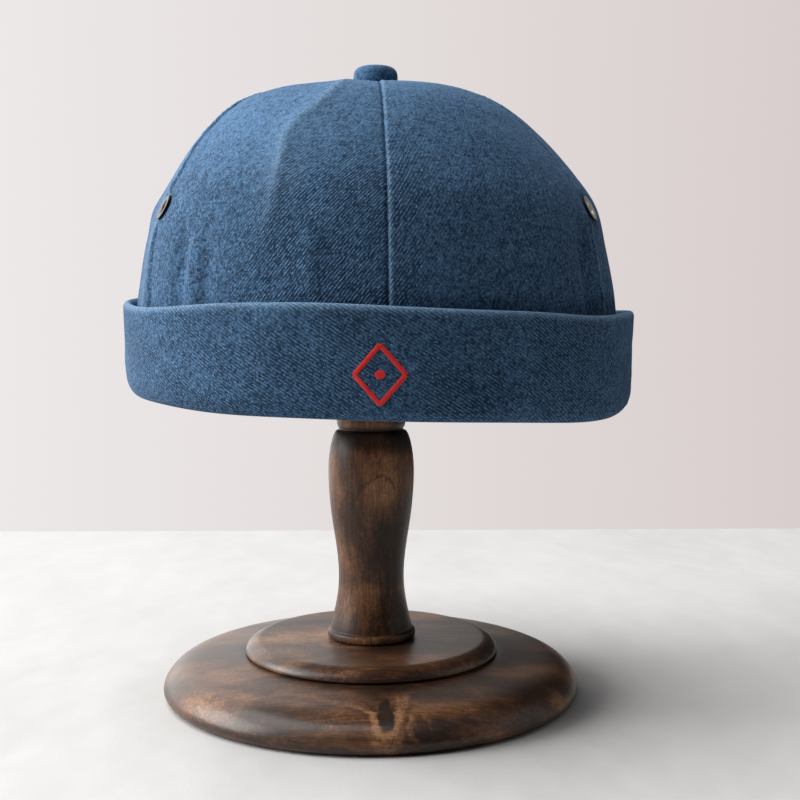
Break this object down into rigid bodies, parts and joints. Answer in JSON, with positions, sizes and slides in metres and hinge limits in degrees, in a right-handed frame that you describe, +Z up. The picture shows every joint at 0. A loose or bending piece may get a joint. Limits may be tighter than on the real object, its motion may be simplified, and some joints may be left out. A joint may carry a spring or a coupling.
{
  "type": "docker cap on a wooden hat stand",
  "caption": "Brimless denim docker cap with panelled crown, turned-up cuff, eyelets and covered button, resting on a turned wooden hat stand.",
  "frame": {"origin": "centre of the stand's flat foot, on the surface that it stands on", "axes": "+Z up; -Y is the cap's front, where the front seam is; +X is to the right seen from the front"},
  "size_m": [0.1916, 0.196, 0.2387],
  "materials": {
    "crown_denim": "washed mid-blue denim twill",
    "cuff_denim": "washed mid-blue denim twill, ribs running the other way",
    "eyelet_metal": "polished black nickel",
    "stand_wood": "dark walnut stain under a satin lacquer",
    "embroidery": "red satin-stitch thread"
  },
  "bodies": {
    "root": {"panel_front_left": "crown_denim", "panel_front_right": "crown_denim", "panel_side_left": "crown_denim", "panel_side_right": "crown_denim", "panel_back_left": "crown_denim", "panel_back_right": "crown_denim", "cuff": "cuff_denim", "top_button": "crown_denim", "eyelet_left": "eyelet_metal", "eyelet_right": "eyelet_metal", "stand_base": "stand_wood", "stand_tier": "stand_wood", "stand_stem": "stand_wood", "stand_head": "stand_wood"}
  },
  "joints": []
}
